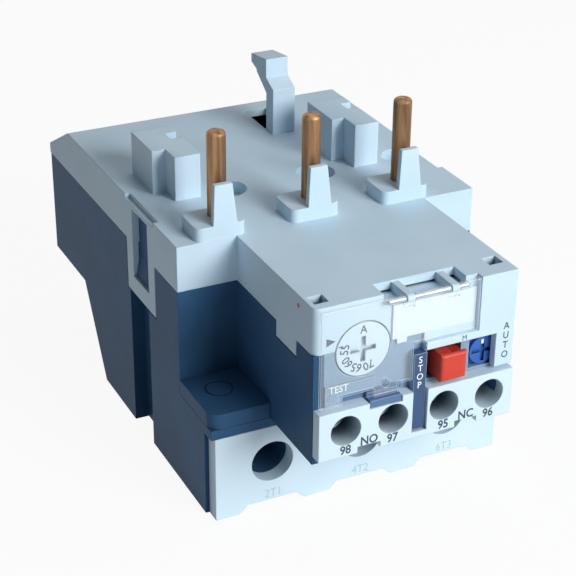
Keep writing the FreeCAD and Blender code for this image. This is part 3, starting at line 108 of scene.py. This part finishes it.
# The world is white to the eye, and lights the relay with only a little cool sky.
world = bpy.data.worlds.new("studio")
bpy.context.scene.world = world
world.use_nodes = True
sky = world.node_tree
sky.nodes.clear()
seen = straight_look(sky)
soft = add(sky, "ShaderNodeBackground", {"Color": paint("DDE9F2"), "Strength": 0.1})
plain = add(sky, "ShaderNodeBackground", {"Color": (1, 1, 1, 1), "Strength": 1.0})
both = add(sky, "ShaderNodeMixShader", {0: seen, 1: soft.outputs[0], 2: plain.outputs[0]})
add(sky, "ShaderNodeOutputWorld", {"Surface": both.outputs[0]})

# Matt paper: nearly white all over, with just enough of its own shade left to hold the relay's shadow.
bpy.ops.mesh.primitive_plane_add(size=4, location=(0, 0, solid_box[0][2]))
floor = bpy.context.object
floor.name = "floor"
white, tree = empty_material("matt white paper sweep")
seen = straight_look(tree, 0.93)
paper = add(tree, "ShaderNodeBsdfDiffuse", {"Color": paint("F2F5F8")})
glow = add(tree, "ShaderNodeEmission", {"Color": (1, 1, 1, 1), "Strength": 1.0})
shown = add(tree, "ShaderNodeMixShader", {0: seen, 1: paper.outputs[0], 2: glow.outputs[0]})
add(tree, "ShaderNodeOutputMaterial", {"Surface": shown.outputs[0]})
floor.data.materials.append(white)

for name, place, aim, wide, watts in (
        ("front_panel_light", (0.3, -0.72, 0.36), (0, 0, -0.01), 0.45, 7.4),
        ("top_panel_light", (0.2, 0.1, 0.85), (0, 0.03, 0), 0.5, 1.2)):
    bpy.ops.object.light_add(type="AREA", location=place)
    lamp = bpy.context.object
    lamp.name = name
    lamp.data.size, lamp.data.energy = wide, watts
    lamp.rotation_euler = (Vector(aim) - Vector(place)).to_track_quat("-Z", "Y").to_euler()

bpy.context.scene.view_settings.view_transform = "Standard"

# Dark lower casing, and the two caps over the ends of its terminal row.
# Glass filled polyamide, injection moulded in a blue black with a fine spark eroded texture.
# The casing carries every other piece, and the caps lie flat on its front corners.

SHARE, UNDER, OVER, MIXED = 0, 6, 7, 2  # the sockets of a mix of two colours


def moulded(name, colour, deep, rough, grain, edge, rim="EDF6FB", wear_and_sheen=0.35, hollow_shade="1B2737",
            reach=(0.1, 0.5), patches=(), bump=0.12, shine=0.3):
    """Moulded plastic: faint flow marks, a fine grain, a painted highlight on the edges, painted shade in the
    hollows, and patches of other colours.

    grain is the width of a speck of the texture and edge the radius of a rounded edge, in millimetres. Real
    specks are finer, and these are as coarse as the render needs to show them. deep is the colour of the flow
    marks, rim that of the painted highlight on an edge and hollow_shade that of the painted shade in a hole,
    and reach says how open a place is where that painted shade begins and where it ends. wear_and_sheen is
    how far the highlight pales an edge. A patch is the left, right, low and high end of a stretch seen from
    the front, and its colour.
    """
    flow_marks = 0.06  # to the millimetre, about 17 mm each
    grain_depth, hollow_width = 0.05, 9
    flat_face, sharp_edge = 0.99, 0.8  # how far the rounded normal agrees with the flat one
    made, tree = empty_material(name)
    place = add(tree, "ShaderNodeTexCoord").outputs["Object"]
    flow = add(tree, "ShaderNodeTexNoise", {"Vector": place, "Scale": flow_marks / MM, "Detail": 3.0})
    speck = add(tree, "ShaderNodeTexNoise", {"Vector": place, "Scale": 1 / (grain * MM), "Detail": 2.0})
    blend = add(tree, "ShaderNodeMapRange", {"Value": flow.outputs[0], "From Min": 0.35, "From Max": 0.65})
    tone = add(tree, "ShaderNodeMix", {SHARE: blend.outputs[0], UNDER: paint(colour), OVER: paint(deep)},
               data_type="RGBA")
    spot = add(tree, "ShaderNodeSeparateXYZ", {0: place})
    for (left, right, low, high), hue in patches:
        inside = 1.0
        for axis, start, end in (("X", left, right), ("Z", low, high)):
            within = add(tree, "ShaderNodeMath", {0: spot.outputs[axis], 1: (start + end) / 2 * MM,
                                                  2: (end - start) / 2 * MM}, operation="COMPARE")
            inside = add(tree, "ShaderNodeMath", {0: within.outputs[0], 1: inside},
                         operation="MULTIPLY").outputs[0]
        tone = add(tree, "ShaderNodeMix", {SHARE: inside, UNDER: tone.outputs[MIXED], OVER: paint(hue)},
                   data_type="RGBA")
    gloss = add(tree, "ShaderNodeMapRange", {"Value": speck.outputs[0], "From Min": 0.3, "From Max": 0.7,
                                             "To Min": rough - 0.06, "To Max": rough + 0.08})
    round_edge = add(tree, "ShaderNodeBevel", {"Radius": edge * MM}, samples=6)
    flat = add(tree, "ShaderNodeNewGeometry").outputs["True Normal"]
    # Painted highlight: near a rounded edge the colour goes over to the pale rim colour.
    turned = add(tree, "ShaderNodeVectorMath", {0: round_edge.outputs[0], 1: flat}, operation="DOT_PRODUCT")
    edge_highlight = add(tree, "ShaderNodeMapRange", {"Value": turned.outputs["Value"], "From Min": flat_face,
                                              "From Max": sharp_edge, "To Min": 0.0, "To Max": wear_and_sheen})
    tone = add(tree, "ShaderNodeMix", {SHARE: edge_highlight.outputs[0], UNDER: tone.outputs[MIXED],
                                       OVER: paint(rim)}, data_type="RGBA")
    # Painted shade: where ambient occlusion finds a place closed in, the colour goes over to the hollow
    # colour.
    open_air = add(tree, "ShaderNodeAmbientOcclusion", {"Distance": hollow_width * MM}, samples=8,
                   only_local=True)
    depth = add(tree, "ShaderNodeMapRange", {"Value": open_air.outputs["AO"], "From Min": reach[0],
                                             "From Max": reach[1]})
    tone = add(tree, "ShaderNodeMix", {SHARE: depth.outputs[0], UNDER: paint(hollow_shade),
                                       OVER: tone.outputs[MIXED]}, data_type="RGBA")
    bumps = add(tree, "ShaderNodeBump", {"Height": speck.outputs[0], "Strength": bump,
                                         "Distance": grain_depth * MM, "Normal": round_edge.outputs[0]})
    skin = add(tree, "ShaderNodeBsdfPrincipled", {"Base Color": tone.outputs[MIXED],
                                                  "Roughness": gloss.outputs[0], "Normal": bumps.outputs[0],
                                                  "IOR": 1.5, "Specular IOR Level": shine})
    add(tree, "ShaderNodeOutputMaterial", {"Surface": skin.outputs[0]})
    return made


def finish_nodes(material, *starts):
    """Give the material to every carried over piece whose name starts with one of these words."""
    for name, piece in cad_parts.items():
        if name.startswith(starts):
            for slot in piece.material_slots:
                slot.material = material


# A dull skin: hardly any gleam, edges painted a shade paler as a highlight, and hollows painted nearly black
# as shade.
base_plastic = moulded("moulded polyamide, blue black", "365C82", "305374", rough=0.5, grain=0.35, edge=0.3,
                       rim="55738F", wear_and_sheen=0.3, hollow_shade="141F2F", reach=(0.05, 0.4), shine=0.1)
finish_nodes(base_plastic, "base_housing", "terminal_cap")

# Terminals: round connection pins, load bars, box clamps and their screws, and the small front screws.
# The pins and bars are drawn copper, the clamps bent from zinc plated steel, the screws burnished steel.
# Each pin leads down to its heater, and the bars, clamps and screws lie in cells of the casing.


def metal(name, colour, stain, rough, scratches, streaks, stained):
    """Bare metal: a stain that comes and goes, and fine scratches along one direction.

    scratches and streaks say how many come to a millimetre along x, y and z, and stained is how far the stain
    covers the metal. Real scratches are finer, and these are as coarse as the render needs to show them.
    """
    edge, scratch_depth = 0.2, 0.03
    made, tree = empty_material(name)
    place = add(tree, "ShaderNodeTexCoord").outputs["Object"]
    drawn = add(tree, "ShaderNodeMapping", {"Vector": place, "Scale": [count / MM for count in streaks]})
    patch = add(tree, "ShaderNodeTexNoise", {"Vector": drawn.outputs[0], "Scale": 1.0, "Detail": 4.0})
    stretch = add(tree, "ShaderNodeMapping", {"Vector": place, "Scale": [count / MM for count in scratches]})
    lines = add(tree, "ShaderNodeTexNoise", {"Vector": stretch.outputs[0], "Scale": 1.0, "Detail": 2.0})
    part = add(tree, "ShaderNodeMapRange", {"Value": patch.outputs[0], "From Min": 0.4, "From Max": 0.66,
                                            "To Max": stained})
    tone = add(tree, "ShaderNodeMix", {SHARE: part.outputs[0], UNDER: paint(colour), OVER: paint(stain)},
               data_type="RGBA")
    gloss = add(tree, "ShaderNodeMapRange", {"Value": lines.outputs[0], "To Min": rough - 0.08,
                                             "To Max": rough + 0.14})
    round_edge = add(tree, "ShaderNodeBevel", {"Radius": edge * MM}, samples=4)
    bumps = add(tree, "ShaderNodeBump", {"Height": lines.outputs[0], "Strength": 0.2,
                                         "Distance": scratch_depth * MM, "Normal": round_edge.outputs[0]})
    skin = add(tree, "ShaderNodeBsdfPrincipled", {"Base Color": tone.outputs[MIXED], "Metallic": 1.0,
                                                  "Roughness": gloss.outputs[0], "Normal": bumps.outputs[0]})
    add(tree, "ShaderNodeOutputMaterial", {"Surface": skin.outputs[0]})
    return made


spots = (0.26, 0.26, 0.26)  # even patches, about 4 mm wide

# Copper that heat has browned in streaks along its length, and that shines softly between them.
copper = metal("drawn copper, heat browned", "A68260", "5F4737", rough=0.5, scratches=(3.5, 3.5, 0.12),
               streaks=(0.9, 0.9, 0.06), stained=0.85)
finish_nodes(copper, "pin_", "load_bar")
# A cool silver grey with cloudy patches, as zinc turns after some years.
zinc = metal("zinc plated steel", "B9BEC2", "8E9498", rough=0.34, scratches=(2.5, 2.5, 2.5), streaks=spots,
             stained=0.5)
finish_nodes(zinc, "clamp_cage")
# Nearly black, with a blue cast, so that a screw only glints at the bottom of its hole.
burnished = metal("burnished dark steel", "3A4656", "1F2835", rough=0.4, scratches=(2.5, 2.5, 2.5),
                  streaks=spots, stained=0.7)
finish_nodes(burnished, "terminal_screw", "aux_screw", "aux_washers")

# Bimetal strips and the heaters round them, one pair for each pole.
# A strip is two alloys rolled into one, and a heater is a ribbon of resistance alloy.
# The strip stands on a foot inside a sleeve, and the ribbon is wound round the sleeve.

# Warm grey, with faint rolling lines along the strip.
bimetal = metal("rolled bimetal", "9A958C", "6D675E", rough=0.4, scratches=(2.8, 2.8, 0.2), streaks=spots,
                stained=0.6)
finish_nodes(bimetal, "bimetal")
# Dull brown grey: the oxide of a ribbon that has glowed, with hardly any shine left.
heater = metal("oxidised heater ribbon", "6B655D", "453F39", rough=0.55, scratches=(0.4, 0.4, 3.5),
               streaks=spots, stained=0.8)
finish_nodes(heater, "heater")

# Contacts: four plates behind the front screws, and the break and make bridges between them.
# Stamped from sheet brass. The screws hold the plates, and the bridges ride on the contact carrier.

# Yellow with a slight brown tarnish, and scratches along the way it was stamped.
brass = metal("stamped brass", "CBA565", "96773F", rough=0.36, scratches=(0.3, 2.8, 2.8), streaks=spots,
              stained=0.4)
finish_nodes(brass, "contact_plate", "nc_bridge", "no_bridge")

# Trip mechanism, out of sight: slide, rocker, contact carrier and the lever on the dial's cam.
# They are moulded from natural acetal, and the compensating lever is cut from the strips' bimetal.
# Slide and carrier run on rails of the casing, and the levers turn on zinc plated pins.

# Creamy white with a smooth, slightly waxy skin.
acetal = moulded("moulded acetal, natural", "E4E0D4", "DAD5C7", rough=0.38, grain=0.4, edge=0.15)
finish_nodes(acetal, "push_slide", "trip_rocker", "contact_carrier", "adjusting_lever")
finish_nodes(bimetal, "compensating_lever")
finish_nodes(zinc, "lever_pin", "rocker_pin", "adjusting_pin")

# Panel behind the controls, with the test rod in the hole at its lower left.
# Polyamide moulded in a blue grey, with the wells that guide the buttons.
# Its rib with the word STOP is a darker blue; painted shade darkens the recess at the right of the test rod.

rib = (-0.28, 2.48, -31.4, -13.7)  # left, right, low and high end, as for recess
# Painted shade: the recess under the ledge and the flap is coloured darker, where they shade it.
recess_shade = (-15.6, -2, -23.5, -20.3)

# Half matt, with edges painted much paler than the faces as a highlight, a darker rib and a shaded recess.
panel_plastic = moulded("moulded polyamide, slate blue", "86A3BD", "7E9BB5", rough=0.45, grain=0.3, edge=0.22,
                        wear_and_sheen=0.7, patches=[(rib, "3B557A"), (recess_shade, "58759B")])
finish_nodes(panel_plastic, "front_panel", "test_button")

# Terminal shroud, front terminal block and setting dial.
# Polyamide moulded in a bluish white, in smoother tools than the casing's.
# Shroud and block are fitted to the casing from the front, and the dial turns in a bore of the cover.

# A clean white with a soft sheen, and grey blue shade where a hole goes down.
white_plastic = moulded("moulded polyamide, bluish white", "D5E9F4", "CFE4F0", rough=0.42, grain=0.3,
                        edge=0.25)
finish_nodes(white_plastic, "terminal_shroud", "aux_terminal_block", "setting_dial")

# Stop button, reset button and the selector on its face, with a coil spring behind each button.
# The buttons are moulded from glossy ABS in red and in blue, and the springs wound from zinc plated wire.
# Each button slides in a well of the panel against its spring, and the selector turns on the reset button.

# A warm red with a wet looking gloss, and painted shade that darkens its foot where it enters its well.
# Its edges are painted paler as a highlight.
red_plastic = moulded("glossy red ABS", "D24434", "CA3C2E", rough=0.3, grain=1.6, edge=0.5, rim="E8604F",
                      wear_and_sheen=0.5, hollow_shade="8A1E18", reach=(0.1, 0.6), bump=0.0)
finish_nodes(red_plastic, "stop_button")
# A strong blue, a little less glossy, with painted shade that darkens it in its slot and round its rim.
# Its edges are painted paler as a highlight.
blue_plastic = moulded("glossy blue ABS", "3468BC", "2F60B0", rough=0.33, grain=0.5, edge=0.2, rim="4A7BC6",
                       wear_and_sheen=0.5, hollow_shade="16275A", reach=(0.3, 0.95), bump=0.04)
finish_nodes(blue_plastic, "reset_plunger", "reset_selector")
finish_nodes(zinc, "stop_spring", "reset_spring")

# Light upper casing: cover, collars, locating blocks, hook and fascia in one moulding.
# The casing's glass filled polyamide in a pale blue grey, with the same fine texture.
# It is pushed down over the casing, and a springy strap on each side snaps over a nose in its wall.

# Matt and even; a painted highlight makes its edges nearly white, painted shade soft dark lines in the gaps.
cover_plastic = moulded("moulded polyamide, pale blue grey", "CDE4F3", "C6DEEE", rough=0.5, grain=0.35,
                        edge=0.35, reach=(0.03, 0.3))
finish_nodes(cover_plastic, "top_cover")

# Blank marking plate under the flap.
# A thin, smooth white moulding that lies flat on the front of the cover.

# A little whiter and shinier than the front block.
label_card = moulded("smooth white marking plate", "E2EEF5", "DDEAF2", rough=0.35, grain=0.5, edge=0.1)
finish_nodes(label_card, "label_plate")

# Clear flap over the dial and the marking plate, with its hinge pin.
# Polycarbonate, moulded in a polished tool. The pin is zinc plated steel.
# The flap swings on the pin between two lugs of the cover, and its ear takes a seal.

flap_edge = 0.35
flap_clouds = 0.15  # to the millimetre

# Clear as glass over its face, and whiter along its edges, where light gathers.
made, tree = empty_material("clear moulded polycarbonate")
place = add(tree, "ShaderNodeTexCoord").outputs["Object"]
haze = add(tree, "ShaderNodeTexNoise", {"Vector": place, "Scale": flap_clouds / MM, "Detail": 2.0})
cloud = add(tree, "ShaderNodeMapRange", {"Value": haze.outputs[0], "To Min": 0.03, "To Max": 0.09})
round_edge = add(tree, "ShaderNodeBevel", {"Radius": flap_edge * MM}, samples=6)
flat = add(tree, "ShaderNodeNewGeometry").outputs["True Normal"]
turned = add(tree, "ShaderNodeVectorMath", {0: round_edge.outputs[0], 1: flat}, operation="DOT_PRODUCT")
solid = add(tree, "ShaderNodeMapRange", {"Value": turned.outputs["Value"], "From Min": 0.99, "From Max": 0.75,
                                         "To Min": 0.09, "To Max": 0.8})
skin = add(tree, "ShaderNodeBsdfPrincipled", {"Base Color": paint("F2FAFC"), "Roughness": cloud.outputs[0],
                                              "IOR": 1.5, "Alpha": solid.outputs[0],
                                              "Normal": round_edge.outputs[0]})
add(tree, "ShaderNodeOutputMaterial", {"Surface": skin.outputs[0]})
finish_nodes(made, "clear_flap")
finish_nodes(zinc, "flap_pin")

# Words and numbers by the terminals and the buttons.
# Pad printed ink, a few hundredths of a millimetre thick, on the faces that look to the front.
# The marks under the driver holes are moulded ones, drawn in a slightly darker tone as painted shade.

ink_thickness, ink_lift = 0.02, 0.02
fascia_face = -37.1


def ink(name, colour):
    """Printed ink: one plain colour, half matt, and a little uneven."""
    uneven = 2.5  # patches to the millimetre
    made, tree = empty_material(name)
    place = add(tree, "ShaderNodeTexCoord").outputs["Object"]
    wear_and_sheen = add(tree, "ShaderNodeTexNoise", {"Vector": place, "Scale": uneven / MM, "Detail": 2.0})
    rough = add(tree, "ShaderNodeMapRange", {"Value": wear_and_sheen.outputs[0], "To Min": 0.4, "To Max": 0.6})
    skin = add(tree, "ShaderNodeBsdfPrincipled", {"Base Color": paint(colour), "Roughness": rough.outputs[0]})
    add(tree, "ShaderNodeOutputMaterial", {"Surface": skin.outputs[0]})
    return made


# Slate grey reads clearly on white, the painted relief shade only from near by, and white shows on the panel.
grey_ink = ink("pad printed ink, slate grey", "33475C")
relief_shade_ink = ink("moulded mark, hardly darker", "B3C8D6")
white_ink = ink("pad printed ink, white", "EFF5F8")


def front_of(name):
    """How far to the front a carried over piece reaches, in millimetres."""
    return min(corner[1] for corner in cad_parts[name].bound_box) / MM


def middle_of(name):
    """The middle of a carried over piece, in millimetres."""
    corners = [Vector(corner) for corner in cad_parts[name].bound_box]
    return sum(corners, Vector()) / len(corners) / MM


def settle(piece, name, material, body):
    """Put a finished piece's place into its mesh, name it and let it ride."""
    piece.select_set(True)
    bpy.context.view_layer.objects.active = piece
    bpy.ops.object.transform_apply(location=True, rotation=True, scale=True)
    piece.name = piece.data.name = name
    piece.data.materials.clear()
    piece.data.materials.append(material)
    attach(piece, body)
    piece.select_set(False)


def print_words(name, words, tall, spot, face, material, body="housing", turn=0.0, bold=0.0):
    """Words on a face that looks to the front; spot is their middle, across and up, in millimetres."""
    size_of_tall, narrow = 1.38, 0.9  # type size for a capital one high, and the type's width
    bpy.ops.object.select_all(action="DESELECT")
    bpy.ops.object.text_add()
    piece = bpy.context.object
    piece.data.body = words
    piece.data.align_x, piece.data.align_y = "CENTER", "CENTER"
    piece.data.size = tall * size_of_tall * MM
    piece.data.extrude = ink_thickness / 2 * MM
    piece.data.offset = bold * tall * MM
    piece.data.resolution_u = 3
    bpy.ops.object.convert(target="MESH")
    piece.scale = (narrow, 1, 1)
    bpy.ops.object.transform_apply(location=False, rotation=False, scale=True)
    low = Vector([min(v.co[n] for v in piece.data.vertices) for n in range(3)])
    high = Vector([max(v.co[n] for v in piece.data.vertices) for n in range(3)])
    for corner in piece.data.vertices:
        corner.co -= (low + high) / 2
    upright = Matrix.Rotation(math.radians(90), 4, "X") @ Matrix.Rotation(math.radians(turn), 4, "Z")
    piece.matrix_world = Matrix.Translation(Vector((spot[0], face - ink_lift, spot[1])) * MM) @ upright
    settle(piece, name, material, body)


shroud_line, number_line, pair_line = -53.4, -31.3, -30.3
for side, pole, words in (("left", "first", "2T1"), ("middle", "second", "4T2"), ("right", "third", "6T3")):
    print_words("main_mark_" + side, words, 2.1, (middle_of("terminal_screw_" + pole).x, shroud_line),
                front_of("terminal_shroud"), relief_shade_ink)
for number in ("98", "97", "95", "96"):
    print_words("mark_" + number, number, 2.0, (middle_of("aux_screw_" + number).x, number_line),
                front_of("aux_terminal_block"), grey_ink, bold=0.03)
for words, left, right in (("NO", "98", "97"), ("NC", "95", "96")):
    between = (middle_of("aux_screw_" + left).x + middle_of("aux_screw_" + right).x) / 2
    print_words("mark_" + words.lower(), words, 2.0, (between, pair_line), front_of("aux_terminal_block"),
                grey_ink, bold=0.03)

rib_middle, stop_top, stop_step = (rib[0] + rib[1]) / 2, -15.3, 1.9
for row, letter in enumerate("STOP"):
    print_words("stop_letter_" + letter, letter, 1.5, (rib_middle, stop_top - row * stop_step),
                front_of("front_panel"), white_ink, bold=0.01)
# The word TEST reaches over the test rod's hole, so it lies level with the end of the rod.
print_words("test_word", "TEST", 1.6, (-16.3, -18.3), front_of("test_button"), white_ink, bold=0.02)
auto_column, auto_top, auto_step = 20.9, -12.3, 2.2
for row, letter in enumerate("AUTO"):
    print_words("auto_letter_" + letter, letter, 1.6, (auto_column, auto_top - row * auto_step), fascia_face,
                grey_ink, bold=0.01)
print_words("manual_mark", "M", 1.2, (11.1, -12.8), fascia_face, grey_ink)

# Marks on the setting dial, and the pointers on the cover and the selector.
# The same printed inks. The numbers stand round the dial's rim with their feet to the middle.
# The selector's pointer is white paint that fills the upper arm of its slot nearly to the front.

dial_middle = middle_of("setting_dial")
cover_face = front_of("base_housing")  # the cover and the base end flush beside the dial
slot_paint = front_of("reset_selector") + 0.09
for words, angle, tall, away in (("A", 90, 1.8, 4.4), ("55", 170, 1.9, 4.1), ("60", 212, 1.9, 4.1),
                                 ("65", 250, 1.9, 4.1), ("70", 288, 1.9, 4.1)):
    spot = (dial_middle.x + math.cos(math.radians(angle)) * away,
            dial_middle.z + math.sin(math.radians(angle)) * away)
    print_words("dial_mark_" + words, words, tall, spot, front_of("setting_dial"), grey_ink, "dial",
                turn=angle - 90, bold=0.015)


def flat_shape(name, corners, face, material, body="housing"):
    """A thin printed shape on a face that looks to the front, from a primitive triangle or square."""
    bpy.ops.object.select_all(action="DESELECT")
    bpy.ops.mesh.primitive_circle_add(vertices=len(corners), radius=MM, fill_type="NGON")
    piece = bpy.context.object
    for corner, (x, z) in zip(piece.data.vertices, corners):
        corner.co = Vector((x, face - ink_lift, z)) * MM
    settle(piece, name, material, body)


flat_shape("dial_pointer", [(-18.9, -6.9), (-18.9, -8.7), (-16.9, -7.8)], cover_face, grey_ink)
flat_shape("dial_tick", [(-16.3, -9.2), (-16.3, -9.45), (-15.2, -9.6), (-15.2, -9.35)],
           front_of("setting_dial"), grey_ink, "dial")
flat_shape("selector_pointer", [(16.6, -15.15), (16.6, -16.6), (17.2, -16.6), (17.2, -15.15)], slot_paint,
           white_ink, "selector")

# Slate step in the notch of the front block, under the ear of the flap.
# A small tab of the panel's moulding, in the same plastic, that the sealed flap rests over.
# It is drawn as its side outline and pulled 7 mm wide, and its front is nearly flush with the block.

step_left, step_width, step_softness = -10.2, 7.0, 0.12
step_outline = ((-37.8, -23.3), (-35.5, -23.3), (-35.5, -21.95), (-35.25, -21.95),
                (-35.25, -20.7), (-36.1, -20.7), (-36.1, -21.7), (-37.8, -21.7))
bpy.ops.object.select_all(action="DESELECT")
bpy.ops.mesh.primitive_circle_add(vertices=len(step_outline), radius=MM, fill_type="NGON")
step = bpy.context.object
for corner, (y, z) in zip(step.data.vertices, step_outline):
    corner.co = Vector((step_left, y, z)) * MM
bpy.ops.object.mode_set(mode="EDIT")
bpy.ops.mesh.select_all(action="SELECT")
bpy.ops.mesh.extrude_region_move(TRANSFORM_OT_translate={"value": (step_width * MM, 0, 0)})
bpy.ops.mesh.select_all(action="SELECT")
bpy.ops.mesh.normals_make_consistent(inside=False)
bpy.ops.mesh.bevel(offset=step_softness * MM, segments=2, affect="EDGES")
bpy.ops.object.mode_set(mode="OBJECT")
# The painted shade of the panel's recess covers this step too, and darkens it.
settle(step, "panel_step", panel_plastic, "housing")

# Small red inspection dot on the left wall of the front block.
# A round dab of stamped ink, 1 mm across, as thin as the other prints.

dot_wide, block_wall = 1.0, -21.6
dot_middle = Vector((block_wall - ink_lift, -28.6, -2.2)) * MM
bpy.ops.object.select_all(action="DESELECT")
bpy.ops.mesh.primitive_circle_add(vertices=20, radius=dot_wide / 2 * MM, fill_type="NGON")
dot = bpy.context.object
for corner in dot.data.vertices:
    corner.co = dot_middle + Vector((0, -corner.co.x, corner.co.y))
# A plain warm red, half matt like the other inks.
settle(dot, "inspection_dot", ink("stamped ink, red", "C4493C"), "housing")
